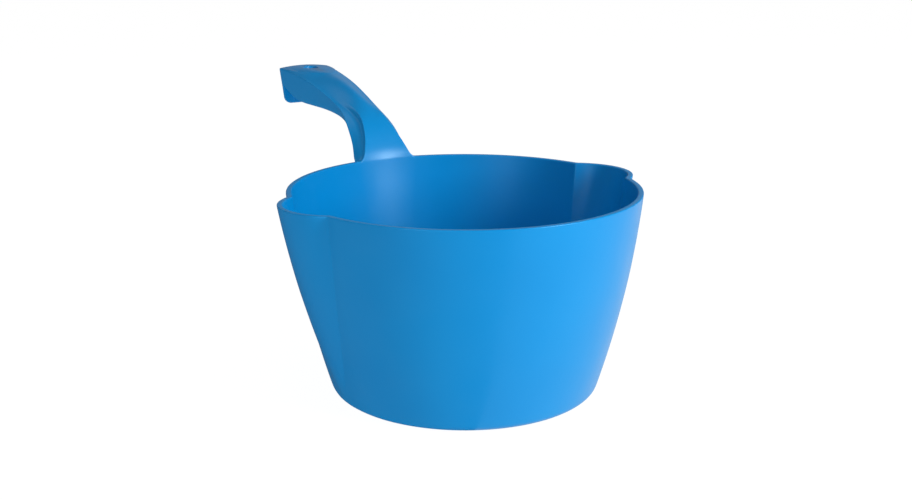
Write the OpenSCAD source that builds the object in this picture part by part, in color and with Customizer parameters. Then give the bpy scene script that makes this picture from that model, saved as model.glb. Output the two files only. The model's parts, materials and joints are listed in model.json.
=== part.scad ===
// Moulded bowl scoop: a tapered bowl with two pouring lips and an arched channel handle.
// Millimetres, +Z up. Origin: centre of the flat foot. The handle reaches towards +Y,
// and the pouring lips point along +X and -X, square to the handle.

/* [Bowl] */
// Outer diameter at the rim, between the lips
rim_d = 180; // [150:5:220]
// Height of the rim above the foot
bowl_h = 104.5; // [80:0.5:130]
// Outer diameter that the wall would have at the foot without its rounded corner
base_d = 137.5; // [110:0.5:145]
// How far the wall bows outward at half height
wall_bow = 3; // [1:0.1:5]
// Thickness of the wall
wall_t = 2.8; // [2:0.1:4]
// Thickness of the floor
floor_t = 3.2; // [2:0.1:5]
// Radius of the outer corner between wall and foot
corner_r = 4.8; // [3:0.1:8]

/* [Pouring lips] */
// How far the peak of a lip stands out past the round rim
lip_reach = 10.2; // [6:0.2:12]
// Radius of a lip at the rim, seen from above
lip_r = 28.6; // [24:0.2:34]
// Radius of a lip where it runs out at the foot
lip_foot_r = 24; // [20:0.5:26]

/* [Handle] */
// From the round rim to the tip of the handle
reach = 114.3; // [95:0.1:130]
// Height of the tip above the rim
rise = 41.4; // [32:0.1:50]
// Lean of the handle from upright where it leaves the rim, in degrees
root_lean = 12; // [6:1:18]
// Width across the edges at the rim
root_w = 34; // [30:0.5:40]
// Width across the edges at the narrow neck
neck_w = 23.6; // [20:0.2:28]
// Width across the edges at the tip
tip_w = 32.6; // [28:0.2:38]
// Thickness of the handle's walls
handle_t = 2.6; // [2:0.1:3.2]
// Clear height between the rim level and the flanks' lower edges
under_h = 21; // [18:0.5:24]
// How far the end wall hangs down from the tip
hook_h = 23.7; // [18:0.1:28]
// How far the root ribs run down the outside of the wall
rib_h = 46; // [30:1:60]

/* [Hanging hole] */
// Diameter of the hanging hole
hole_d = 9; // [7:0.5:11]
// Centre of the hanging hole back from the tip
hole_inset = 13; // [11:0.5:16]

/* [Hidden] */
$fn = 96;

plastic = "#0a7fd0";
far = 400;

rim_r = rim_d / 2;
base_r = base_d / 2;
inner_corner_r = corner_r + 1;
wall_steps = 10;
arc_steps = 6;

// Outer radius of the round wall at height z: a straight taper with a parabolic bow
function wall_r(z) =
    let (k = z / bowl_h)
    base_r + (rim_r - base_r) * k + 4 * wall_bow * k * (1 - k);

// Lean of the wall from upright at its foot
foot_lean = atan((rim_r - base_r + 4 * wall_bow) / bowl_h);

// Half of a wall's section: the wall's line moved inward by inset, down to a floor at
// height z0 with a rounded corner of radius r, up to z1
function wall_outline(inset, z0, r, z1) =
    let (
        foot = wall_r(z0) - inset,
        cut = r * tan((90 - foot_lean) / 2),
        start_z = z0 + cut * cos(foot_lean)
    )
    concat(
        [[0, z0], [foot - cut, z0]],
        [for (i = [1 : arc_steps])
            let (a = -90 + (90 - foot_lean) * i / arc_steps)
            [foot - cut + r * cos(a), z0 + r + r * sin(a)]],
        [for (i = [1 : wall_steps])
            let (z = start_z + (z1 - start_z) * i / wall_steps)
            [wall_r(z) - inset, z]],
        [[0, z1]]
    );

// A pouring lip is a bowed cone that leans outward from the foot to the rim
lip_top_x = rim_r + lip_reach - lip_r;
lip_foot_x = wall_r(0) - lip_foot_r - 0.6;
lip_lean = atan((lip_top_x - lip_foot_x) / bowl_h);
lip_len = bowl_h / cos(lip_lean);
lip_over = 20;
function lip_radius(s, inset) =
    let (k = s / lip_len)
    (lip_foot_r + (lip_r - lip_foot_r) * k + 4 * wall_bow * k * (1 - k)) * cos(lip_lean) - inset;

// Half angle of the wall's sector that belongs to a lip
lip_half_angle = 17.5;

module lip_cone(inset, z0) {
    translate([lip_foot_x, 0, 0]) rotate([0, lip_lean, 0]) rotate_extrude()
        polygon(concat(
            [[0, z0]],
            [for (i = [0 : wall_steps])
                let (s = z0 + (lip_len + lip_over - z0) * i / wall_steps)
                [lip_radius(s, inset), s]],
            [[0, lip_len + lip_over]]
        ));
}

module both_lips(inset, z0) {
    lip_cone(inset, z0);
    rotate([0, 0, 180]) lip_cone(inset, z0);
}

// Large block between two heights
module slab(z0, z1) {
    translate([-far / 2, -far / 2, z0]) cube([far, far, z1 - z0]);
}

module bowl_outside() {
    rotate_extrude() polygon(wall_outline(0, 0, corner_r, bowl_h));
    intersection() {
        both_lips(0, 1);
        slab(corner_r, bowl_h);
    }
}

module bowl_inside() {
    rotate_extrude() polygon(wall_outline(wall_t, floor_t, inner_corner_r, bowl_h + 1));
    intersection() {
        both_lips(wall_t, 1);
        slab(floor_t + inner_corner_r, bowl_h + 1);
    }
}

module bowl_shell() {
    difference() {
        bowl_outside();
        bowl_inside();
    }
}

// The base reaches a little above the floor, clear of the start of the inner corner
base_top = floor_t + 0.6;

// Wedge about the Z axis between two angles less than 180 degrees apart
module sector(a0, a1, z0, z1) {
    mid = (a0 + a1) / 2;
    translate([0, 0, z0]) linear_extrude(z1 - z0)
        polygon([
            [0, 0],
            far * [cos(a0), sin(a0)],
            2 * far * [cos(mid), sin(mid)],
            far * [cos(a1), sin(a1)]
        ]);
}

module wall_sector(a0, a1) {
    intersection() {
        bowl_shell();
        sector(a0, a1, base_top, bowl_h + 5);
    }
}

module base() color(plastic) intersection() {
    bowl_shell();
    slab(-1, base_top);
}

module front_wall() color(plastic)
    wall_sector(180 + lip_half_angle, 360 - lip_half_angle);

module back_wall() color(plastic)
    wall_sector(lip_half_angle, 180 - lip_half_angle);

module left_pouring_lip() color(plastic)
    wall_sector(180 - lip_half_angle, 180 + lip_half_angle);

module right_pouring_lip() color(plastic)
    wall_sector(-lip_half_angle, lip_half_angle);

// ---- Handle: everything is drawn at stations t from 0 at the rim to 1 at the tip ----

tip_y = rim_r + reach;
top_z = bowl_h + rise;
front_line = [
    [rim_r - wall_t, bowl_h],
    [rim_r - wall_t + 24.5 * sin(root_lean), bowl_h + 24.5 * cos(root_lean)],
    [tip_y - 0.605 * reach, top_z + 1.5],
    [tip_y, top_z]
];
root_start = -0.09;
neck_t = 0.36;
across = 8;

function bezier(p, t) =
    pow(1 - t, 3) * p[0] + 3 * pow(1 - t, 2) * t * p[1]
    + 3 * (1 - t) * t * t * p[2] + t * t * t * p[3];
function bezier_slope(p, t) =
    3 * pow(1 - t, 2) * (p[1] - p[0]) + 6 * (1 - t) * t * (p[2] - p[1])
    + 3 * t * t * (p[3] - p[2]);
function ease(k) = let (c = min(max(k, 0), 1)) c * c * (3 - 2 * c);
function mix(a, b, k) = a + (b - a) * k;

// Upward normal of the front line at a station, as [y, z]
function front_normal(t) =
    let (d = bezier_slope(front_line, t), n = norm(d))
    [-d[1] / n, d[0] / n];

// Half width across the side edges, and their depth below the front line
function edge_w(t) =
    t < 0.5
    ? mix(root_w, neck_w, 1.46 * t + 0.27 * ease((t - 0.28) / 0.22)) / 2
    : mix(neck_w, tip_w, pow((t - 0.5) / 0.5, 1.4)) / 2;
function edge_h(t) =
    t < 0.6 ? 7.6 - 1.4 * ease(t / 0.6) : mix(6.2, 2, pow((t - 0.6) / 0.4, 1.1));

// Half width of the flat face: a tongue that narrows from the rim, then the flat
// landing round the hanging hole, which widens to the tip
function face_w(t) =
    t < 0.5
    ? mix(0.88 * root_w / 2, 6, sqrt(ease(max(t, 0) / 0.5)))
    : mix(6, tip_w / 2 - 0.6, pow((t - 0.5) / 0.5, 3));
function corner_pull(t) = t < 0.5 ? mix(3, 1.1, ease(t / 0.4)) : mix(1.1, 2.5, ease((t - 0.6) / 0.4));

// Point k (0 at the middle, 1 at the side edge) on the upper surface, as [x, depth]
function crown_point(t, k) =
    let (
        w = corner_pull(t),
        b0 = (1 - k) * (1 - k),
        b1 = 2 * w * k * (1 - k),
        b2 = k * k
    )
    [(b1 * face_w(t) + b2 * edge_w(t)) / (b0 + b1 + b2), b2 * edge_h(t) / (b0 + b1 + b2)];

// The same point on the underside, one wall thickness in
function crown_inner(t, k) =
    let (p = crown_point(t, k), b = edge_w(t), h = edge_h(t))
    [p[0] * (b - handle_t) / b, handle_t + p[1] * (h - handle_t * 0.4) / h * 0.94];

// A section point [x, depth] at station t, in the object's frame
function place(t, p) =
    let (f = bezier(front_line, t), n = front_normal(t))
    [p[0], f[0] - p[1] * n[0], f[1] - p[1] * n[1]];

// Ring of the crown's section at station t: over the top, then back underneath
function crown_ring(t) = concat(
    [for (i = [-across : across]) let (p = crown_point(t, abs(i) / across))
        place(t, [sign(i) * p[0], p[1]])],
    [for (i = [across : -1 : -across]) let (p = crown_inner(t, abs(i) / across))
        place(t, [sign(i) * p[0], p[1]])]
);

// Closed solid through equal rings of points
module loft(rings) {
    n = len(rings[0]);
    last = len(rings) - 1;
    polyhedron(
        points = [for (r = rings) each r],
        faces = concat(
            [[for (i = [0 : n - 1]) i]],
            [for (j = [0 : last - 1], i = [0 : n - 1])
                let (k = (i + 1) % n)
                each [
                    [j * n + k, j * n + i, (j + 1) * n + i],
                    [j * n + k, (j + 1) * n + i, (j + 1) * n + k]
                ]],
            [[for (i = [n - 1 : -1 : 0]) last * n + i]]
        )
    );
}

function stations(t0, t1, count) = [for (i = [0 : count]) mix(t0, t1, i / count)];

end_wall_t = handle_t;
end_t = 1 - end_wall_t / norm(bezier_slope(front_line, 1));

module handle_root() color(plastic) difference() {
    loft([for (t = stations(root_start, neck_t, 14)) crown_ring(t)]);
    slab(-far, bowl_h);
}

module handle_grip() color(plastic) difference() {
    loft([for (t = stations(neck_t, end_t, 22)) crown_ring(t)]);
    translate([0, tip_y - hole_inset, bowl_h]) cylinder(d = hole_d, h = rise + 10);
}

// Height of the flanks' lower edge at distance y, with a big rounded corner at the tip
arch_y = rim_r + 60;
sweep_r = 45;
sweep_y = tip_y - 28.3;
function under_z(y) =
    bowl_h + under_h
    - (y < arch_y ? 4.6 * pow((arch_y - y) / 40, 2) : 0)
    + (y > sweep_y ? sweep_r - sqrt(sweep_r * sweep_r - pow(y - sweep_y, 2)) : 0);
flank_lean = 0.13;

// Ring of the right flank's section: the side edge, straight down to the lower edge
function flank_ring(t) =
    let (
        o = place(t, [edge_w(t), edge_h(t)]),
        q = place(t, crown_inner(t, 1)),
        low = min(under_z(o[1]), o[2] - 0.5),
        x1 = o[0] - flank_lean * (o[2] - low)
    )
    [o, q, [x1 - handle_t, q[1], low], [x1, o[1], low]];

module right_flank() color(plastic)
    loft([for (t = stations(neck_t, end_t, 18)) flank_ring(t)]);

module left_flank() color(plastic) mirror([1, 0, 0]) right_flank();

// The end wall: the tip's section carried down to a rounded lower edge
end_corner_r = 4.5;
module end_wall() color(plastic) {
    low_z = top_z - hook_h;
    side_x = edge_w(1) - flank_lean * (hook_h - end_corner_r);
    turn = 90 - atan(flank_lean);
    right = concat(
        [for (i = [0 : across]) let (p = crown_point(1, i / across)) [p[0], top_z - p[1]]],
        [for (i = [0 : arc_steps])
            let (a = -atan(flank_lean) - turn * i / arc_steps)
            [side_x - end_corner_r + end_corner_r * cos(a),
                low_z + end_corner_r + end_corner_r * sin(a)]]
    );
    last = len(right) - 1;
    translate([0, tip_y, 0]) rotate([90, 0, 0]) linear_extrude(end_wall_t)
        polygon(concat(right, [for (i = [last : -1 : 1]) [-right[i][0], right[i][1]]]));
}

// A root rib carries a side edge of the handle down the outside of the wall
rib_top_x = root_w / 2 - 1.5;
rib_foot_x = 10;
rib_depth = 6.5;
rib_end = 0.8;
rib_lean = atan((rib_top_x - rib_foot_x) / rib_h);
function rib_edge_y(k) =
    wall_r(bowl_h - k * rib_h) * cos(asin(mix(rib_top_x, rib_foot_x, k) / rim_r))
    + mix(rib_end, rib_depth, pow(1 - k, 1.5));

module right_rib_plate() {
    steps = 6;
    translate([rib_top_x, 0, bowl_h]) rotate([0, rib_lean, 0]) rotate([90, 0, 90])
        linear_extrude(handle_t, center = true)
        polygon(concat(
            [[rim_r - 25, 2], [rim_r - 25, -rib_h]],
            [for (i = [steps : -1 : 0]) [rib_edge_y(i / steps), -i / steps * rib_h]],
            [[rib_edge_y(0), 2]]
        ));
}

module right_root_rib() color(plastic) intersection() {
    difference() {
        right_rib_plate();
        rotate_extrude($fn = 360) polygon(wall_outline(0, 0, corner_r, bowl_h + 5));
    }
    slab(0, bowl_h);
}

module left_root_rib() color(plastic) mirror([1, 0, 0]) right_root_rib();

base();
front_wall();
back_wall();
left_pouring_lip();
right_pouring_lip();
left_root_rib();
right_root_rib();
handle_root();
handle_grip();
left_flank();
right_flank();
end_wall();
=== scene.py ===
"""Moulded bowl scoop: the looks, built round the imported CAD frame.

The whole scoop is one moulding, so one cage is modelled for its whole skin and subdivided.
The skin is then cut along the CAD nodes' seams into closed pieces, which keep the normals of
the whole skin, so that no seam shows. Lengths are in millimetres until a mesh is made.
The handle reaches towards +Y, the pouring lips point along +X and -X, +Z is up.
"""

import json
import math

import bmesh
import bpy
import numpy as np
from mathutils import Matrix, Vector
from mathutils.kdtree import KDTree


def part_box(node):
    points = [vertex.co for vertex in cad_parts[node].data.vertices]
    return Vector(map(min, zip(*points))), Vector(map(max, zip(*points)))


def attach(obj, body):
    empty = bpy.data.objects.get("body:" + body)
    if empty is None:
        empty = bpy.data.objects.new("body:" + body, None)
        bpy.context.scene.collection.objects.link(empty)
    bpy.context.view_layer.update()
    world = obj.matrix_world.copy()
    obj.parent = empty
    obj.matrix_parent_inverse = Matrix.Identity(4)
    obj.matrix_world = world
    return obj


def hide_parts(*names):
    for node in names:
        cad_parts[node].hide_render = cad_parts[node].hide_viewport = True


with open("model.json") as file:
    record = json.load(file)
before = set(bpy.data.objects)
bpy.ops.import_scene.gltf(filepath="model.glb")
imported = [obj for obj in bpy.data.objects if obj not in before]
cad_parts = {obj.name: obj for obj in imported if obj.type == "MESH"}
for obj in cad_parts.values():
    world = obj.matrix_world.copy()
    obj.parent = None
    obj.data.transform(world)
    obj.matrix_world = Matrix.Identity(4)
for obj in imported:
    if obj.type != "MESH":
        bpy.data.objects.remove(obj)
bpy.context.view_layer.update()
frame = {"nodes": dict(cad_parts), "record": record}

MM = 0.001


# ---------------------------------------------------------------- sizes, in mm


def box_mm(node):
    low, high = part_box(node)
    return low / MM, high / MM


RIM_R = -box_mm("front_wall")[0].y
BOWL_H = box_mm("front_wall")[1].z
BASE_TOP = box_mm("base")[1].z
LIP_PEAK = box_mm("right_pouring_lip")[1].x
TIP_Y = box_mm("end_wall")[1].y
TOP_Z = box_mm("end_wall")[1].z
HOOK_Z = box_mm("end_wall")[0].z
END_T = TIP_Y - box_mm("end_wall")[0].y
TIP_W = box_mm("end_wall")[1].x * 2
RIB_FOOT_Z = box_mm("right_root_rib")[0].z
HOLE = next(m for m in frame["record"]["mounts"] if m["name"] == "hanging_hole")
HOLE_Y = HOLE["pos_m"][1] / MM
HOLE_R = HOLE["dims"]["r_mm"]

BASE_R = 68.75
WALL_BOW = 3.0
WALL_T = 2.8
FLOOR_Z = 3.2
CORNER_R = 4.8
INNER_CORNER_R = 5.8

LIP_R = 28.6
LIP_FOOT_R = 24.0
LIP_FOOT_INSET = 0.6
LIP_TOP_X = LIP_PEAK - LIP_R
LIP_FOOT_X = BASE_R - LIP_FOOT_R - LIP_FOOT_INSET

# Angles from the lip's middle, in degrees: the lip's seam, the least angle of its crease,
# and the gap to the columns that support the crease on both sides
SEAM_ANGLE = 17.5
MIN_CREASE = 5.0
CREASE_SUPPORT = 0.8

ROOT_W = 34.0
NECK_W = 23.6
HANDLE_T = 2.6
UNDER_H = 21.0
FLANK_LEAN = 0.13

# Ribs outside the wall under the handle: depth at the rim, thickness, half the distance over
# both at their foot, and the height below that over which their columns even out again
RIB_DEPTH = 6.5
RIB_T = 2.7
RIB_FOOT_HALF = 11.3
RIB_FADE = 16

# Pull of the handle's front line, a Bezier curve: at the rim, and back from the tip
ROOT_PULL_Y = 5.1
ROOT_PULL_Z = 24.0
TIP_PULL_Y = 69.2
TIP_PULL_Z = 1.5

# Lower edges of the flanks: an arch towards the rim, and a round sweep down at the tip
ARCH_START_Y = RIM_R + 60
ARCH_DROP = 4.6
ARCH_SPAN = 40
SWEEP_R = 45
SWEEP_START_Y = TIP_Y - 28.3


def mix(a, b, k):
    return a + (b - a) * k


def ease(k):
    k = min(max(k, 0.0), 1.0)
    return k * k * (3 - 2 * k)


# ---------------------------------------------------------------- bowl


def wall_r(z):
    k = z / BOWL_H
    return BASE_R + (RIM_R - BASE_R) * k + 4 * WALL_BOW * k * (1 - k)


def lip_circle(z, inset):
    """Distance of a lip's centre from the axis, and its radius, at height z."""
    k = z / BOWL_H
    radius = mix(LIP_FOOT_R, LIP_R, k) + 4 * WALL_BOW * k * (1 - k)
    return mix(LIP_FOOT_X, LIP_TOP_X, k), radius - inset


def crease_angle(z, inset):
    """Angle from the lip's middle to the crease where the lip leaves the round wall."""
    wall = wall_r(z) - inset
    centre, radius = lip_circle(z, inset)
    if radius <= wall - centre:
        return MIN_CREASE
    cosine = (wall**2 + centre**2 - radius**2) / (2 * wall * centre)
    return max(math.degrees(math.acos(min(1.0, cosine))), MIN_CREASE)


def plan_radius(angle, z, inset):
    """Radius of the wall at an angle, in degrees, from +X."""
    wall = wall_r(z) - inset
    a = math.radians(angle)
    c, s = abs(math.cos(a)), math.sin(a)
    centre, radius = lip_circle(z, inset)
    under = radius**2 - (centre * s) ** 2
    if under <= 0:
        return wall
    return max(wall, centre * c + math.sqrt(under))


# Columns of one half, from the front at -90 degrees round +X to the handle at +90. Each side
# of a lip has its middle segments, up to the crease's inner support, and four more: to the
# crease, to its outer support, halfway to the seam and to the seam.
FRONT_SEGMENTS = 15
LIP_MIDDLE_SEGMENTS = 6
LIP_SEGMENTS = 2 * (LIP_MIDDLE_SEGMENTS + 4)
BACK_SEGMENTS = 13
FACE_SEGMENTS = 12
LIP_START = FRONT_SEGMENTS
LIP_END = LIP_START + LIP_SEGMENTS
WINDOW = LIP_END + BACK_SEGMENTS
MIDDLE = WINDOW + FACE_SEGMENTS
COLUMNS = 2 * MIDDLE
WINDOW_END = COLUMNS - WINDOW


def window_x(z):
    """Half width of the handle's window in the wall at height z."""
    drop = (BOWL_H - z) / (BOWL_H - RIB_FOOT_Z)
    return mix(ROOT_W / 2, RIB_FOOT_HALF, min(max(drop, 0.0), 1.0))


def lip_angle(i, crease):
    """Angle of column i, from 0 at the lip's middle to its seam."""
    inner = crease - CREASE_SUPPORT
    outer = crease + CREASE_SUPPORT
    if i <= LIP_MIDDLE_SEGMENTS:
        return inner * i / LIP_MIDDLE_SEGMENTS
    beyond = [crease, outer, mix(outer, SEAM_ANGLE, 0.5), SEAM_ANGLE]
    return beyond[i - LIP_MIDDLE_SEGMENTS - 1]


def rib_height(z):
    """How far the ribs stand out from the wall at height z."""
    k = (BOWL_H - z) / (BOWL_H - RIB_FOOT_Z)
    return 0.0 if k >= 1 else mix(RIB_DEPTH, 0.6, 1 - (1 - k) ** 1.4) * ease((1 - k) / 0.12)


# Across a rib, from the window's edge inward: how far in, and the share of its height
RIB_SECTION = [
    (0, 0), (0, 0.45), (0.05, 0.88), (0.25, 1), (0.8, 1.03),
    (1.35, 1.03), (1.85, 1.03), (2.35, 1), (2.6, 0.88), (RIB_T, 0),
]
WINDOW_GAP_ANGLE = 1.3


def bowl_point(column, z, inset, radius=None, ribs=False):
    """Point of the bowl's skin at a column of the half from -90 to +90 degrees."""
    wall = wall_r(z) - inset
    edge = math.degrees(math.acos(window_x(z) / wall))
    if column <= LIP_START:
        angle = mix(-90, -SEAM_ANGLE, column / FRONT_SEGMENTS)
    elif column <= LIP_END:
        i = column - LIP_START - LIP_SEGMENTS // 2
        angle = math.copysign(lip_angle(abs(i), crease_angle(z, inset)), i)
    elif column < WINDOW:
        k = (column - LIP_END) / (BACK_SEGMENTS - 1)
        angle = mix(SEAM_ANGLE, edge - WINDOW_GAP_ANGLE, k)
    else:
        i = column - WINDOW
        x = window_x(z) * (1 - i / FACE_SEGMENTS)
        height = 0.0
        if ribs:
            spread = ease((z - RIB_FOOT_Z + RIB_FADE) / RIB_FADE)
            if i < len(RIB_SECTION):
                across, share = RIB_SECTION[i]
                x = mix(x, window_x(z) - across, spread)
                height = share * rib_height(z)
            else:
                inner = window_x(z) - RIB_T
                left = FACE_SEGMENTS - len(RIB_SECTION) + 1
                x = mix(x, inner * (FACE_SEGMENTS - i) / left, spread)
        if radius is not None:
            x *= radius / wall
            wall = radius
        return [x, math.sqrt(wall**2 - x**2) + height, z]
    r = plan_radius(angle, z, inset) if radius is None else radius
    a = math.radians(angle)
    return [r * math.cos(a), r * math.sin(a), z]


def around(z, inset=0.0, radius=None, ribs=False):
    """One full row of the bowl's skin."""
    half = [bowl_point(j, z, inset, radius, ribs) for j in range(MIDDLE + 1)]
    return half + [[-x, y, z] for x, y, z in half[-2:0:-1]]


FOOT_LEAN = math.atan((RIM_R - BASE_R + 4 * WALL_BOW) / BOWL_H)


def corner_rows(inset, floor_z, corner_r, shares):
    """Rows of the rounded corner between floor and wall; shares go from the floor up."""
    foot = wall_r(floor_z) - inset
    centre = foot - corner_r * math.tan((math.pi / 2 - FOOT_LEAN) / 2)
    rows = []
    for share in shares:
        a = -math.pi / 2 + (math.pi / 2 - FOOT_LEAN) * share
        z = floor_z + corner_r + corner_r * math.sin(a)
        rows.append(around(z, inset, radius=centre + corner_r * math.cos(a)))
    return rows


# Heights of the rows up the wall; the ribs are nodes of their own from RIB_SEAM_Z up
RIM_SOFTNESS = 0.9
RIB_SEAM_Z = RIB_FOOT_Z + 6
WALL_LEVELS = [8, 18, 31, 44, RIB_FOOT_Z, RIB_SEAM_Z, 75, 86, 95.5, 101]

outer_rows = (
    [around(0, radius=24), around(0, radius=46)]
    + corner_rows(0, 0, CORNER_R, [0, 0.4, 0.8])
    + [around(BASE_TOP)]
)
OUTER_SEAM = len(outer_rows) - 1
outer_rows += [around(z, ribs=True) for z in WALL_LEVELS]
RIB_SEAM = OUTER_SEAM + 1 + WALL_LEVELS.index(RIB_SEAM_Z)
outer_rows += [around(BOWL_H - RIM_SOFTNESS, ribs=True), around(BOWL_H, ribs=True)]
rim_rows = [around(BOWL_H, RIM_SOFTNESS), around(BOWL_H, WALL_T - RIM_SOFTNESS)]
inner_rows = (
    [around(BOWL_H, WALL_T), around(BOWL_H - RIM_SOFTNESS, WALL_T)]
    + [around(z, WALL_T) for z in reversed(WALL_LEVELS[1:])]
    + [around(11, WALL_T)]
    + corner_rows(WALL_T, FLOOR_Z, INNER_CORNER_R, [0.85, 0.6, 0.35, 0])
    + [around(FLOOR_Z, WALL_T, radius=44), around(FLOOR_Z, WALL_T, radius=23)]
)
INNER_SEAM = len(inner_rows) - 4


# ---------------------------------------------------------------- handle

FRONT_LINE = [
    (RIM_R - WALL_T, BOWL_H),
    (RIM_R - WALL_T + ROOT_PULL_Y, BOWL_H + ROOT_PULL_Z),
    (TIP_Y - TIP_PULL_Y, TOP_Z + TIP_PULL_Z),
    (TIP_Y, TOP_Z),
]


def front(t):
    """Point (y, z) of the front line at station t, from 0 at the rim to 1 at the tip."""
    w = [(1 - t) ** 3, 3 * (1 - t) ** 2 * t, 3 * (1 - t) * t * t, t**3]
    return [sum(a * p[i] for a, p in zip(w, FRONT_LINE)) for i in (0, 1)]


def front_normal(t):
    """Upward normal of the front line, kept level at the rim, where the rings are level."""
    w = [3 * (1 - t) ** 2, 6 * (1 - t) * t, 3 * t * t]
    steps = [
        [b[i] - a[i] for i in (0, 1)] for a, b in zip(FRONT_LINE, FRONT_LINE[1:])
    ]
    dy, dz = (sum(a * s[i] for a, s in zip(w, steps)) for i in (0, 1))
    length = math.hypot(dy, dz)
    k = ease(t / 0.2)
    ny, nz = mix(-1, -dz / length, k), mix(0, dy / length, k)
    length = math.hypot(ny, nz)
    return ny / length, nz / length


def place(t, x, depth):
    """Point at x across the handle and so deep below its front line."""
    y, z = front(t)
    ny, nz = front_normal(t)
    return np.array([x, y - depth * ny, z - depth * nz])


def edge_w(t):
    """Half width across the side edges at station t."""
    if t < 0.5:
        return mix(ROOT_W, NECK_W, 1.46 * t + 0.27 * ease((t - 0.28) / 0.22)) / 2
    return mix(NECK_W, TIP_W, ((t - 0.5) / 0.5) ** 1.4) / 2


def edge_h(t):
    """Depth of the side edges below the front line at station t."""
    if t < 0.6:
        return 7.6 - 1.4 * ease(t / 0.6)
    return mix(6.2, 2.0, ((t - 0.6) / 0.4) ** 1.1)


def tongue(t):
    """Half width of the face between its two edge lines, near the root."""
    flare = 1.6 * max(0.0, 1 - t / 0.03) ** 2
    return 6 + 9.4 * max(0.0, 1 - t / 0.5) ** 1.7 + flare


LANDING_Y = 165.0
LANDING_Z = BOWL_H + 40.2
LANDING_SLOPE = (TOP_Z - LANDING_Z) / (TIP_Y - LANDING_Y)
LANDING_HALF = 16.0
LANDING_DROOP = 1.3


def landing_half(y):
    """Half width of the flat landing round the hanging hole."""
    return LANDING_HALF * math.sqrt(max(y - LANDING_Y, 0) / (TIP_Y - LANDING_Y))


def crown_profile(t, share):
    """Depth share across the grip: crowned in the middle, flared out at the side edge."""
    power = mix(2.1, 2.6, ease((t - 0.6) / 0.4))
    flare = mix(0.75, 0.45, ease((t - 0.6) / 0.32))
    return mix(share**power, ease(share), flare)


def crown_depth(t, x):
    """Depth of the crowned grip below the front line. Round the landing it rises above
    that line, and the landing is then cut out of it."""
    w, h = edge_w(t), edge_h(t)
    q = crown_profile(t, min(landing_half(front(t)[0]) / w, 0.95))
    return max(h * (crown_profile(t, abs(x) / w) - q) / (1 - q), -6.0 * q)


def face_bow(t, x):
    """The face starts with the curve of the bowl's inner wall and flattens upward."""
    return -(x**2) / (2 * (RIM_R - WALL_T)) * (1 - ease(t / 0.4))


def under_z(y):
    """Height of the flanks' lower edges at distance y."""
    arch = ARCH_DROP * (max(ARCH_START_Y - y, 0) / ARCH_SPAN) ** 2
    over = max(y - SWEEP_START_Y, 0)
    return BOWL_H + UNDER_H - arch + SWEEP_R - math.sqrt(SWEEP_R**2 - over**2)


# Names of the points round a section, from the face's edge over the side edge and back
SIDE = ["soft1", "soft2", "shoulder", "groove", "edge_in", "edge", "edge_out",
        "low_out", "low", "low_in", "low_inner", "corner", "under1", "under2", "under3"]
# Those that blend from the root's shape to the grip's along with the face
TOP_SIDE = SIDE[:5]


def root_section(t):
    """Half section of the root: a raised tongue that steps back to flared side edges."""
    w, h = edge_w(t), edge_h(t)
    f = tongue(t)
    step = ease(t / 0.05)
    shoulder = np.array([f + mix(0.5, 0.3, step), mix(2.3, 2.9, step)])
    edge = np.array([w, h])
    groove = mix(shoulder, edge, 0.34) + np.array([0.1, -0.75]) * step
    edge_in = mix(groove, edge, 0.8) + np.array([-0.1, 0.1]) * step
    rib_x = ROOT_W / 2 - RIB_T
    wall = np.array([rib_x, math.sqrt(RIM_R**2 - rib_x**2) - (RIM_R - WALL_T)])
    corner = mix(wall, mix(shoulder, edge, 0.5) + np.array([-2.1, 1.7]), ease(t / 0.12))
    inner = corner[0]
    bowed = {
        "soft1": (f + 0.05, 0.4),
        "soft2": (f + 0.12, 1.3),
        "shoulder": shoulder,
        "under1": (inner * 2 / 3, HANDLE_T + 0.1),
        "under2": (inner / 3, HANDLE_T + 0.1),
        "under3": (0, HANDLE_T + 0.1),
    }
    points = {k: (x, d + face_bow(t, x)) for k, (x, d) in bowed.items()}
    points.update({
        "groove": groove + [0, face_bow(t, groove[0]) * 0.6],
        "edge_in": edge_in,
        "edge": edge,
        "edge_out": edge + [-0.25, 0.6],
        "low_out": edge + [-0.75, 1.1],
        "low": edge + [-1.3, 1.3],
        "low_in": edge + [-1.9, 1.25],
        "low_inner": edge + [-2.4, 0.75],
        "corner": corner,
    })
    faces = [(f * i / FACE_SEGMENTS, face_bow(t, f * i / FACE_SEGMENTS))
             for i in range(FACE_SEGMENTS + 1)]
    return [place(t, *p) for p in faces], {k: place(t, *p) for k, p in points.items()}


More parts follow.
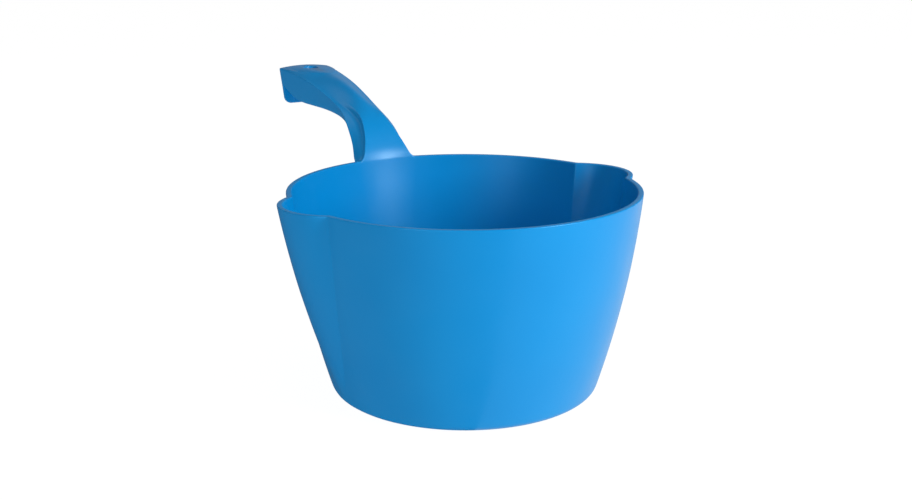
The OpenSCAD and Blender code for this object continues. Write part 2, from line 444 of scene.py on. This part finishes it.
def grip_section(t):
    """Half section of the grip: a crowned top over two upright flanks."""
    w, h = edge_w(t), edge_h(t)
    inner = w - HANDLE_T

    def under(x):
        return HANDLE_T + max(crown_depth(t, x), 0) * 0.95

    points = {
        name: place(t, w * share, crown_depth(t, w * share) - bead)
        for name, share, bead in [("soft1", 0.71, 0), ("soft2", 0.79, 0), ("shoulder", 0.86, 0),
                                  ("groove", 0.92, 0), ("edge_in", 0.965, 0.3), ("edge", 1, 0.15)]
    }
    points.update({
        "corner": place(t, inner, under(inner)),
        "under1": place(t, inner * 2 / 3, under(inner * 2 / 3)),
        "under2": place(t, inner / 3, under(inner / 3)),
        "under3": place(t, 0, under(0)),
    })
    x, y, z = points["edge"]
    low = min(under_z(y), z - 0.8)
    soft = min(1.1, (z - low) * 0.3)
    back = points["corner"][1]

    def flank(height, inset, along):
        return np.array([x - FLANK_LEAN * (z - height) - inset, along, height])

    points.update({
        "edge_out": flank(z - soft, 0, y),
        "low_out": flank(low + soft, 0, y),
        "low": flank(low, 0.25, y),
        "low_in": flank(low, HANDLE_T - 0.25, mix(y, back, 0.8)),
        "low_inner": flank(low + soft, HANDLE_T, back),
    })
    reach = w * 0.62
    faces = [place(t, reach * i / FACE_SEGMENTS, crown_depth(t, reach * i / FACE_SEGMENTS))
             for i in range(FACE_SEGMENTS + 1)]
    return faces, points


# Station at the end wall's inner face, and the seam between root and grip
END_STATION = 1 - END_T / (3 * TIP_PULL_Y)
NECK = 0.36
STATIONS = [0.016, 0.035, 0.06, 0.09, 0.125, 0.165, 0.21, 0.255, 0.3, 0.33, NECK, 0.39,
            0.43, 0.47, 0.52, 0.57, 0.62, 0.67, 0.72, 0.76, 0.8, 0.84, 0.88, 0.92, 0.955,
            END_STATION]
NECK_RING = STATIONS.index(NECK) + 1


def handle_ring(t):
    """One ring round the handle: the face from +X to -X, then back round the underside.
    The root's section turns into the grip's, on top and underneath at different stations."""
    top = ease((t - 0.3) / 0.28)
    under = ease((t - 0.22) / 0.24)
    root_faces, root_side = root_section(t)
    grip_faces, grip_side = grip_section(t)
    faces = [mix(a, b, top) for a, b in zip(root_faces, grip_faces)]
    shares = [top if name in TOP_SIDE else under for name in SIDE]
    side = [mix(root_side[name], grip_side[name], k) for name, k in zip(SIDE, shares)]
    flip = np.array([-1, 1, 1])
    ring = faces[:0:-1] + [p * flip for p in faces] + [p * flip for p in side]
    ring += side[-2::-1]
    if t == END_STATION:
        ring = [np.array([x, TIP_Y - END_T, z]) for x, _, z in ring]
    return ring


# ---------------------------------------------------------------- cage


class Cage:
    """Points, faces with the node that each belongs to, and edge creases."""

    def __init__(self):
        self.points, self.faces, self.labels, self.creases = [], [], [], {}

    def row(self, points):
        start = len(self.points)
        self.points += [tuple(map(float, p)) for p in points]
        return list(range(start, len(self.points)))

    def face(self, label, *corners):
        self.faces.append(corners)
        self.labels.append(label)

    def crease(self, a, b, weight):
        self.creases[(min(a, b), max(a, b))] = weight


NODES = ["base", "front_wall", "back_wall", "left_pouring_lip", "right_pouring_lip",
         "left_root_rib", "right_root_rib", "handle_root", "handle_grip",
         "left_flank", "right_flank"]

cage = Cage()
outer = [cage.row(r) for r in outer_rows]
rim = [cage.row(r) for r in rim_rows]
inner = [cage.row(r) for r in inner_rows]
foot_pole, floor_pole = cage.row([(0, 0, 0), (0, 0, FLOOR_Z)])

MIRROR_LIP_END = COLUMNS - LIP_END
MIRROR_LIP_START = COLUMNS - LIP_START
RIB_COLUMNS = len(RIB_SECTION) - 1


def wall_label(j):
    """Node of the wall between columns j and j + 1."""
    if LIP_START <= j < LIP_END:
        return "right_pouring_lip"
    if LIP_END <= j < MIRROR_LIP_END:
        return "back_wall"
    if MIRROR_LIP_END <= j < MIRROR_LIP_START:
        return "left_pouring_lip"
    return "front_wall"


def rib_label(j):
    """Node of the rib between columns j and j + 1, if there is one."""
    if WINDOW <= j < WINDOW + RIB_COLUMNS:
        return "right_root_rib"
    if WINDOW_END - RIB_COLUMNS <= j < WINDOW_END:
        return "left_root_rib"
    return None


for j in range(COLUMNS):
    k = (j + 1) % COLUMNS
    cage.face("base", foot_pole, outer[0][k], outer[0][j])
    cage.face("base", floor_pole, inner[-1][j], inner[-1][k])
    for i in range(len(outer) - 1):
        label = "base" if i < OUTER_SEAM else wall_label(j)
        if i >= RIB_SEAM and rib_label(j):
            label = rib_label(j)
        cage.face(label, outer[i][j], outer[i][k], outer[i + 1][k], outer[i + 1][j])
    for i in range(len(inner) - 1):
        label = "base" if i >= INNER_SEAM else wall_label(j)
        cage.face(label, inner[i][j], inner[i][k], inner[i + 1][k], inner[i + 1][j])
    if not WINDOW <= j < WINDOW_END:
        for a, b in zip([outer[-1], rim[0], rim[1]], [rim[0], rim[1], inner[0]]):
            cage.face(wall_label(j), a[j], a[k], b[k], b[j])

window = range(WINDOW, WINDOW_END + 1)
rim_ring = (
    [inner[0][j] for j in window]
    + [rim[1][WINDOW_END], rim[0][WINDOW_END]]
    + [outer[-1][j] for j in reversed(window)]
    + [rim[0][WINDOW], rim[1][WINDOW]]
)
# Each of the handle's rings has one slot for each point of rim_ring. The rim's outer corner
# takes the shoulder's slot, and a rib's foot on the side towards its twin takes the corner's.
rings = [rim_ring]
for t in STATIONS:
    points = handle_ring(t)
    assert len(points) == len(rim_ring), (len(points), len(rim_ring))
    rings.append(cage.row(points))

RING = len(rim_ring)


def left_slot(name):
    return 2 * FACE_SEGMENTS + 1 + SIDE.index(name)


def right_slot(name):
    return RING - 1 - SIDE.index(name)


LEFT_EDGE, LEFT_CORNER = left_slot("edge"), left_slot("corner")
RIGHT_EDGE, RIGHT_CORNER = right_slot("edge"), right_slot("corner")

for s in range(len(rings) - 1):
    for i in range(RING):
        k = (i + 1) % RING
        label = "handle_root"
        if s >= NECK_RING:
            label = "handle_grip"
            if LEFT_EDGE <= i < LEFT_CORNER:
                label = "left_flank"
            elif RIGHT_CORNER <= i < RIGHT_EDGE:
                label = "right_flank"
        cage.face(label, rings[s][k], rings[s][i], rings[s + 1][i], rings[s + 1][k])
    if s >= NECK_RING:
        for i in (LEFT_CORNER, RIGHT_CORNER):
            cage.crease(rings[s][i], rings[s + 1][i], 0.5)
        for i in (LEFT_EDGE, RIGHT_EDGE):
            cage.crease(rings[s][i], rings[s + 1][i], 0.35)

# ---------------------------------------------------------------- subdivided skin

LEVELS = 2
BETWEEN = 2**LEVELS - 1


def subdivide(cage):
    """The subdivided skin, and the index of each cage edge by its two points."""
    mesh = bpy.data.meshes.new("cage")
    mesh.from_pydata(cage.points, [], cage.faces)
    node = mesh.attributes.new("node", "INT", "FACE")
    node.data.foreach_set("value", [NODES.index(n) for n in cage.labels])
    crease = mesh.attributes.new("crease_edge", "FLOAT", "EDGE")
    crease.data.foreach_set(
        "value", [cage.creases.get(tuple(sorted(e.vertices)), 0.0) for e in mesh.edges]
    )
    holder = bpy.data.objects.new("cage", mesh)
    bpy.context.scene.collection.objects.link(holder)
    modifier = holder.modifiers.new("subdivide", "SUBSURF")
    modifier.levels = LEVELS
    modifier.render_levels = LEVELS
    graph = bpy.context.evaluated_depsgraph_get()
    fine = bpy.data.meshes.new_from_object(holder.evaluated_get(graph))
    edges = {tuple(e.vertices): e.index for e in mesh.edges}
    bpy.data.objects.remove(holder)
    return fine, edges


fine, cage_edges = subdivide(cage)
fine_points = np.array([v.co for v in fine.vertices])
fine_normals = np.array([v.normal for v in fine.vertices])
fine_label = [NODES[d.value] for d in fine.attributes["node"].data]
COARSE = len(cage.points)


def along(corners):
    """Fine vertices along a path of cage vertices. A step with no cage edge is a jump.
    The fine skin has the cage's own points first, then those on each edge, edge by edge."""
    path = [corners[0]]
    for a, b in zip(corners, corners[1:]):
        if (a, b) in cage_edges:
            first = COARSE + cage_edges[(a, b)] * BETWEEN
            path += range(first, first + BETWEEN)
        elif (b, a) in cage_edges:
            first = COARSE + cage_edges[(b, a)] * BETWEEN
            path += reversed(range(first, first + BETWEEN))
        path.append(b)
    return path


def column(rows, j, first=0, last=None):
    """Slot j of each row from first up to last."""
    return [r[j] for r in rows[first:last]]


# ---------------------------------------------------------------- closed pieces


def ladder(a, b):
    """Quads between two paths of equal length."""
    assert len(a) == len(b), (len(a), len(b))
    return [(a[i], a[i + 1], b[i + 1], b[i]) for i in range(len(a) - 1)]


def strip(a, b):
    """Triangles between two paths that run side by side, each step over the shorter gap."""
    faces, i, j = [], 0, 0
    while i + j < len(a) + len(b) - 2:
        across_a = across_b = math.inf
        if i + 1 < len(a):
            across_a = np.linalg.norm(fine_points[a[i + 1]] - fine_points[b[j]])
        if j + 1 < len(b):
            across_b = np.linalg.norm(fine_points[a[i]] - fine_points[b[j + 1]])
        if across_a < across_b:
            faces.append((a[i], a[i + 1], b[j]))
            i += 1
        else:
            faces.append((a[i], b[j + 1], b[j]))
            j += 1
    return [f for f in faces if len(set(f)) == 3]


def seam_section(j):
    """The wall's section at column j, between its outside and its inside."""
    outside = along(column(outer, j, OUTER_SEAM) + [rim[0][j]])
    inside = along([rim[0][j], rim[1][j]] + column(inner, j, 0, INNER_SEAM + 1))
    return strip(outside, inside[::-1])


def bottom_cap(first, last):
    """Faces between a wall and the base, from column first to column last."""
    columns = [j % COLUMNS for j in range(first, last + 1)]
    return ladder(
        along([outer[OUTER_SEAM][j] for j in columns]),
        along([inner[INNER_SEAM][j] for j in columns]),
    )


def wall_caps(first, last):
    """Faces where a wall meets the base and its two neighbours."""
    ends = seam_section(first % COLUMNS) + seam_section(last % COLUMNS)
    return bottom_cap(first, last) + ends


def rib_caps(first, last):
    """Back of a rib on the wall, from column first to column last, and its lower end."""
    back = ladder(
        along(column(outer, first, RIB_SEAM)), along(column(outer, last, RIB_SEAM))
    )
    return back + [tuple(along(outer[RIB_SEAM][first:last + 1]))]


def grip_seam(i, k):
    """Faces across the wall between ring slots i and k, from the neck to the end wall."""
    return ladder(along(column(rings, i, NECK_RING)), along(column(rings, k, NECK_RING)))


def slots(ring, first, last):
    """Cage points of a ring from slot first to slot last, going round."""
    return [rings[ring][i % RING] for i in range(first, last + 1)]


R_RIB = (WINDOW, WINDOW + RIB_COLUMNS)
L_RIB = (WINDOW_END - RIB_COLUMNS, WINDOW_END)
LEFT_LOW, RIGHT_LOW = left_slot("low"), right_slot("low")
right_flank_ends, left_flank_ends, crown_ends = [], [], []
for r in (NECK_RING, -1):
    right_flank_ends += strip(
        along(slots(r, RIGHT_LOW, RIGHT_EDGE)), along(slots(r, RIGHT_CORNER, RIGHT_LOW)[::-1])
    )
    left_flank_ends += strip(
        along(slots(r, LEFT_EDGE, LEFT_LOW)[::-1]), along(slots(r, LEFT_LOW, LEFT_CORNER))
    )
    crown_ends += strip(
        along(slots(r, RIGHT_EDGE, RING + LEFT_EDGE)),
        along(slots(r, LEFT_CORNER, RIGHT_CORNER)[::-1]),
    )
root_end = strip(
    along(slots(NECK_RING, RIGHT_LOW, RING + LEFT_LOW)),
    along(slots(NECK_RING, LEFT_LOW, RIGHT_LOW)[::-1]),
)
window_inside = along([inner[0][j] for j in window])
rim_start = [inner[0][WINDOW], rim[1][WINDOW], rim[0][WINDOW], outer[-1][WINDOW]]
rim_end = [outer[-1][WINDOW_END], rim[0][WINDOW_END], rim[1][WINDOW_END], inner[0][WINDOW_END]]
window_top = strip(
    window_inside,
    along(rim_start)
    + along([outer[-1][j] for j in range(R_RIB[1], L_RIB[0] + 1)])
    + along(rim_end),
)
root_foot = strip(
    window_inside, along(rim_start[:-1] + [outer[-1][j] for j in window] + rim_end[1:])
)

caps = {
    "base": bottom_cap(0, COLUMNS),
    "front_wall": wall_caps(MIRROR_LIP_START - COLUMNS, LIP_START),
    "right_pouring_lip": wall_caps(LIP_START, LIP_END),
    "left_pouring_lip": wall_caps(MIRROR_LIP_END, MIRROR_LIP_START),
    "back_wall": wall_caps(LIP_END, MIRROR_LIP_END)
    + rib_caps(*R_RIB) + rib_caps(*L_RIB) + window_top,
    "right_root_rib": rib_caps(*R_RIB) + [tuple(along(outer[-1][R_RIB[0]:R_RIB[1] + 1]))],
    "left_root_rib": rib_caps(*L_RIB) + [tuple(along(outer[-1][L_RIB[0]:L_RIB[1] + 1]))],
    "handle_root": root_end + root_foot,
    "handle_grip": grip_seam(LEFT_EDGE, LEFT_CORNER)
    + grip_seam(RIGHT_EDGE, RIGHT_CORNER) + crown_ends,
    "left_flank": grip_seam(LEFT_EDGE, LEFT_CORNER) + left_flank_ends,
    "right_flank": grip_seam(RIGHT_EDGE, RIGHT_CORNER) + right_flank_ends,
}


def closed_piece(name):
    """The skin's faces of one node, with flat faces where it meets its neighbours."""
    faces = [tuple(p.vertices) for p, n in zip(fine.polygons, fine_label) if n == name]
    faces += caps[name]
    used = sorted({v for f in faces for v in f})
    index = {v: i for i, v in enumerate(used)}
    bm = bmesh.new()
    for v in used:
        bm.verts.new(fine_points[v] * MM)
    bm.verts.ensure_lookup_table()
    for f in faces:
        bm.faces.new([bm.verts[index[v]] for v in f])
    bmesh.ops.triangulate(bm, faces=[f for f in bm.faces if len(f.verts) > 4])
    bmesh.ops.recalc_face_normals(bm, faces=bm.faces)
    return finish_mesh(name, bm)


def finish_mesh(name, bm):
    """An object in the scene, made from a bmesh."""
    mesh = bpy.data.meshes.new(name + "_skin")
    bm.to_mesh(mesh)
    bm.free()
    piece = bpy.data.objects.new(name + "_skin", mesh)
    bpy.context.scene.collection.objects.link(piece)
    return piece


pieces = {name: closed_piece(name) for name in NODES}


# ---------------------------------------------------------------- end wall


def landing_z(x, y):
    """Height of the landing, which is level in the middle and droops to its sides."""
    droop = LANDING_DROOP * (abs(x) / LANDING_HALF) ** 2
    return LANDING_Z + (y - LANDING_Y) * LANDING_SLOPE - droop


def cut_at(path, y):
    """A path of (x, z) points at distance y, with what rises above the landing cut off."""
    over = [z - landing_z(x, y) for x, z in path]
    kept = []
    for (x0, z0), (x1, z1), a, b in zip(path, path[1:], over, over[1:]):
        kept.append((x0, z0 - max(a, 0)))
        if a * b < 0:
            x = mix(x0, x1, a / (a - b))
            kept.append((x, landing_z(x, y)))
    return kept + [(path[-1][0], path[-1][1] - max(over[-1], 0))]


HOOK_CORNER_R = 4.5
STRAIGHT_STEPS = 8
CORNER_STEPS = 12
END_SOFTNESS = 0.8
SOFT_STEPS = 5


def end_outline():
    """The end wall's outline as (x, z), over the top with the grip's own section and then
    down the sides, and how many of its points are the top's."""
    ring = along(slots(-1, right_slot("low_out"), RING + left_slot("low_out")))
    top = [(fine_points[v][0], fine_points[v][2]) for v in ring]
    top = cut_at(top, TIP_Y - END_T)
    x, z = top[-1]
    arc_z = HOOK_Z + HOOK_CORNER_R
    arc_x = -x - FLANK_LEAN * (z - arc_z) - HOOK_CORNER_R
    low = []
    for i in range(1, STRAIGHT_STEPS):
        k = i / STRAIGHT_STEPS
        low.append((-mix(-x, arc_x + HOOK_CORNER_R, k), mix(z, arc_z, k)))
    for i in range(CORNER_STEPS + 1):
        a = math.pi / 2 * i / CORNER_STEPS
        low.append((-arc_x - HOOK_CORNER_R * math.cos(a), arc_z - HOOK_CORNER_R * math.sin(a)))
    for i in range(1, STRAIGHT_STEPS + 1):
        low.append((-arc_x * (1 - i / STRAIGHT_STEPS), HOOK_Z))
    return np.array(top + low + [(-x, z) for x, z in low[-2::-1]]), len(top)


def end_wall_piece():
    """A plate with soft edges. Its inner edge is soft only where the grip doesn't meet it."""
    outline, top_count = end_outline()
    n = len(outline)
    edge = np.roll(outline, -1, 0) - np.roll(outline, 1, 0)
    inward = np.stack([-edge[:, 1], edge[:, 0]], 1)
    inward /= np.linalg.norm(inward, axis=1)[:, None]
    centre = outline.mean(0)
    if np.sum((centre - outline) * inward) < 0:
        inward = -inward
    free = np.array([0.0 if i < top_count else 1.0 for i in range(n)])[:, None]
    soft = [math.pi / 2 * i / SOFT_STEPS for i in range(SOFT_STEPS + 1)]
    levels = [(END_SOFTNESS * (1 - math.sin(a)), END_SOFTNESS * (1 - math.cos(a)) * free)
              for a in reversed(soft)]
    levels += [(END_T - END_SOFTNESS * (1 - math.sin(a)), END_SOFTNESS * (1 - math.cos(a)))
               for a in soft]
    bm = bmesh.new()
    rows = []
    for out, inset in levels:
        y = TIP_Y - END_T + out
        points = [Vector((x, y, z)) * MM for x, z in outline + inward * inset]
        rows.append([bm.verts.new(p) for p in points])
    for a, b in zip(rows, rows[1:]):
        for i in range(n):
            k = (i + 1) % n
            bm.faces.new((a[i], a[k], b[k], b[i]))
    for row, y in ((rows[0], TIP_Y - END_T), (rows[-1], TIP_Y)):
        middle = bm.verts.new(Vector((0, y, centre[1])) * MM)
        for i in range(n):
            bm.faces.new((row[i], row[(i + 1) % n], middle))
    bmesh.ops.recalc_face_normals(bm, faces=bm.faces)
    return finish_mesh("end_wall", bm)


pieces["end_wall"] = end_wall_piece()


# ---------------------------------------------------------------- landing and hole


def cutter(name, points, faces):
    """A closed tool for cut_away, from points in millimetres."""
    mesh = bpy.data.meshes.new(name)
    mesh.from_pydata([Vector(p) * MM for p in points], [], faces)
    tool = bpy.data.objects.new(name, mesh)
    bpy.context.scene.collection.objects.link(tool)
    return tool


def landing_cutter(steps=48, half_width=24, height=30):
    """A block over the grip, longer than the landing, whose underside has its shape."""
    xs = [mix(-half_width, half_width, i / steps) for i in range(steps + 1)]
    points = [
        (x, y, landing_z(x, y) if low else LANDING_Z + height)
        for y in (LANDING_Y - 40, TIP_Y + 20) for low in (True, False) for x in xs
    ]
    n = steps + 1
    faces = []
    for i in range(steps):
        a, b, c, d = i, n + i, 2 * n + i, 3 * n + i
        faces += [(a, a + 1, b + 1, b), (c, d, d + 1, c + 1), (a, c, c + 1, a + 1),
                  (b, b + 1, d + 1, d)]
    faces += [(0, n, 3 * n, 2 * n), (n - 1, 3 * n - 1, 4 * n - 1, 2 * n - 1)]
    return cutter("landing_cutter", points, faces)


def hole_cutter(sides=64):
    """A cylinder through the landing, with a small round-over at the top edge."""
    levels = [(-20, 0), (-0.5, 0), (-0.15, 0.15), (0, 0.45), (0.3, 0.9)]
    points = [
        (
            (HOLE_R + more) * math.cos(2 * math.pi * i / sides),
            HOLE_Y + (HOLE_R + more) * math.sin(2 * math.pi * i / sides),
            landing_z(0, HOLE_Y) + up,
        )
        for up, more in levels for i in range(sides)
    ]
    faces = [
        (j * sides + i, j * sides + (i + 1) % sides,
         (j + 1) * sides + (i + 1) % sides, (j + 1) * sides + i)
        for j in range(len(levels) - 1) for i in range(sides)
    ]
    faces.append(tuple(reversed(range(sides))))
    faces.append(tuple(range((len(levels) - 1) * sides, len(levels) * sides)))
    return cutter("hole_cutter", points, faces)


def cut_away(piece, tool):
    """Cuts a tool out of a piece for good, and removes the tool."""
    modifier = piece.modifiers.new("cut", "BOOLEAN")
    modifier.operation = "DIFFERENCE"
    modifier.solver = "EXACT"
    modifier.object = tool
    graph = bpy.context.evaluated_depsgraph_get()
    mesh = bpy.data.meshes.new_from_object(piece.evaluated_get(graph))
    piece.modifiers.clear()
    piece.data = mesh
    bpy.data.objects.remove(tool)


cut_away(pieces["handle_grip"], landing_cutter())
cut_away(pieces["handle_grip"], hole_cutter())

# ---------------------------------------------------------------- normals of the whole skin

SHARP_ANGLE = math.radians(32)
SAME_SIDE = math.cos(math.radians(30))
SAME_POINT_M = 1e-6

skin_tree = KDTree(len(fine_points))
for i, point in enumerate(fine_points):
    skin_tree.insert(Vector(point) * MM, i)
skin_tree.balance()


def keep_skin_normals(piece):
    """Gives a piece the whole skin's normals, so that its seams don't show."""
    mesh = piece.data
    for polygon in mesh.polygons:
        polygon.use_smooth = True
    mesh.set_sharp_from_angle(angle=SHARP_ANGLE)
    own = [Vector(n.vector) for n in mesh.corner_normals]
    found = {}
    for v in mesh.vertices:
        _, i, distance = skin_tree.find(v.co)
        if distance < SAME_POINT_M:
            found[v.index] = Vector(fine_normals[i])
    normals = []
    for loop, normal in zip(mesh.loops, own):
        skin = found.get(loop.vertex_index)
        normals.append(skin if skin and skin.dot(normal) > SAME_SIDE else normal)
    mesh.normals_split_custom_set(normals)


for piece in pieces.values():
    keep_skin_normals(piece)

# ---------------------------------------------------------------- material


def moulded_plastic():
    """Semi-gloss blue polypropylene: faint drift in colour and gloss, fine moulded grain."""
    material = bpy.data.materials.new("moulded_polypropylene")
    material.use_nodes = True
    nodes, links = material.node_tree.nodes, material.node_tree.links
    shader = nodes["Principled BSDF"]
    shader.inputs["IOR"].default_value = 1.49
    shader.inputs["Specular IOR Level"].default_value = 0.42
    shader.inputs["Specular Tint"].default_value = (0.6, 0.85, 1, 1)
    where = nodes.new("ShaderNodeTexCoord")

    def noise(scale, detail, roughness=0.5):
        """Noise with so many features to the metre."""
        node = nodes.new("ShaderNodeTexNoise")
        node.inputs["Scale"].default_value = scale
        node.inputs["Detail"].default_value = detail
        node.inputs["Roughness"].default_value = roughness
        links.new(where.outputs["Object"], node.inputs["Vector"])
        return node.outputs["Fac"]

    def spread(value, low, high, start=0.3, end=0.7):
        """The value's run from start to end, spread from low to high."""
        node = nodes.new("ShaderNodeMapRange")
        node.inputs["From Min"].default_value = start
        node.inputs["From Max"].default_value = end
        node.inputs["To Min"].default_value = low
        node.inputs["To Max"].default_value = high
        links.new(value, node.inputs["Value"])
        return node.outputs["Result"]

    def blend_colour(factor, a, b):
        node = nodes.new("ShaderNodeMix")
        node.data_type = "RGBA"
        links.new(factor, node.inputs[0])
        for value, socket_index in ((a, 6), (b, 7)):
            if isinstance(value, tuple):
                node.inputs[socket_index].default_value = value
            else:
                links.new(value, node.inputs[socket_index])
        return node.outputs[2]

    drift = spread(noise(14, 2), 0, 1)
    colour = blend_colour(drift, (0.0, 0.242, 0.61, 1), (0.0, 0.262, 0.64, 1))
    links.new(colour, shader.inputs["Base Color"])
    links.new(spread(noise(55, 3), 0.28, 0.34), shader.inputs["Roughness"])
    bump = nodes.new("ShaderNodeBump")
    bump.inputs["Strength"].default_value = 0.06
    bump.inputs["Distance"].default_value = 0.0004
    links.new(noise(420, 3, 0.6), bump.inputs["Height"])
    links.new(bump.outputs["Normal"], shader.inputs["Normal"])
    return material


plastic = moulded_plastic()
for node, piece in pieces.items():
    piece.data.materials.clear()
    piece.data.materials.append(plastic)
    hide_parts(node)
    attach(piece, "root")
for node in frame["nodes"].values():
    node.data.materials.clear()
    node.data.materials.append(plastic)

# ---------------------------------------------------------------- stage, light, camera


def by_ray(tree, for_camera, for_gloss, for_rest):
    """A strength that differs for what the camera, reflections and diffuse light see."""
    path = tree.nodes.new("ShaderNodeLightPath")

    def choose(factor, a, b):
        node = tree.nodes.new("ShaderNodeMix")
        tree.links.new(path.outputs[factor], node.inputs[0])
        for value, i in ((a, 2), (b, 3)):
            if isinstance(value, float):
                node.inputs[i].default_value = value
            else:
                tree.links.new(value, node.inputs[i])
        return node.outputs[0]

    return choose("Is Camera Ray", choose("Is Glossy Ray", for_rest, for_gloss), for_camera)


def pale_floor():
    material = bpy.data.materials.new("pale_floor")
    material.use_nodes = True
    nodes, links = material.node_tree.nodes, material.node_tree.links
    nodes.remove(nodes["Principled BSDF"])
    glow = nodes.new("ShaderNodeEmission")
    matt = nodes.new("ShaderNodeBsdfDiffuse")
    matt.inputs["Color"].default_value = (0.1, 0.1, 0.1, 1)
    both = nodes.new("ShaderNodeAddShader")
    links.new(by_ray(material.node_tree, 0.97, 0.03, 0.85), glow.inputs["Strength"])
    links.new(glow.outputs[0], both.inputs[0])
    links.new(matt.outputs[0], both.inputs[1])
    links.new(both.outputs[0], nodes["Material Output"].inputs["Surface"])
    return material


floor_mesh = bpy.data.meshes.new("floor")
floor_mesh.from_pydata([(-6, -6, 0), (6, -6, 0), (6, 6, 0), (-6, 6, 0)], [], [(0, 1, 2, 3)])
floor = bpy.data.objects.new("floor", floor_mesh)
floor.location.z = -0.0004
bpy.context.scene.collection.objects.link(floor)
floor_mesh.materials.append(pale_floor())

scene = bpy.context.scene
scene.view_settings.view_transform = "Standard"
world = bpy.data.worlds.new("studio")
scene.world = world
world.use_nodes = True
backdrop = world.node_tree.nodes["Background"]
backdrop.inputs["Color"].default_value = (1, 1, 1, 1)
world.node_tree.links.new(
    by_ray(world.node_tree, 1.0, 0.1, 0.27), backdrop.inputs["Strength"]
)


def soft_box(name, place, aim, width, height, power):
    light = bpy.data.lights.new(name, "AREA")
    light.shape = "RECTANGLE"
    light.size, light.size_y = width, height
    light.energy = power
    lamp = bpy.data.objects.new(name, light)
    lamp.location = place
    lamp.rotation_euler = (Vector(aim) - Vector(place)).to_track_quat("-Z", "Y").to_euler()
    lamp.visible_camera = False
    bpy.context.scene.collection.objects.link(lamp)
    return lamp


centre = (0, 0, BOWL_H * MM / 2)
soft_box("key", (0.6, -1.1, 0.5), centre, 0.34, 0.6, 13.5)
soft_box("top", (0, 0, 1.4), centre, 0.6, 0.6, 1.2)
for fill in (
    soft_box("top_front", (0.6, -0.6, 1.2), centre, 0.7, 0.7, 3.2),
    soft_box("left_fill", (-1.0, -0.9, 0.5), centre, 0.9, 0.9, 3.4),
):
    fill.visible_glossy = False
# Cards that only the gloss shows
for card in (
    soft_box("floor_card", (0.42, -0.1, 0.001), (0.42, -0.1, 1), 0.9, 0.6, 1.1),
    soft_box("rim_card", (0.65, 1.1, 0.42), centre, 1.1, 0.5, 0.35),
    soft_box("ridge_card", (-0.55, 0.9, 1.2), centre, 0.6, 0.6, 1.3),
    soft_box("edge_card", (-1.2, -0.7, 0.2), centre, 0.5, 0.4, 1.5),
):
    card.visible_diffuse = False

CAMERA_PLACE = (-0.30535, -0.52011, 0.23544)
CAMERA_AIM = (-0.00380, 0.00220, 0.07134)
camera = bpy.data.objects.new("camera", bpy.data.cameras.new("camera"))
camera.location = CAMERA_PLACE
camera.rotation_euler = (
    (Vector(CAMERA_AIM) - Vector(CAMERA_PLACE)).to_track_quat("-Z", "Y").to_euler()
)
camera.data.lens = 48.04
camera.data.sensor_width = 36
scene.collection.objects.link(camera)
scene.camera = camera
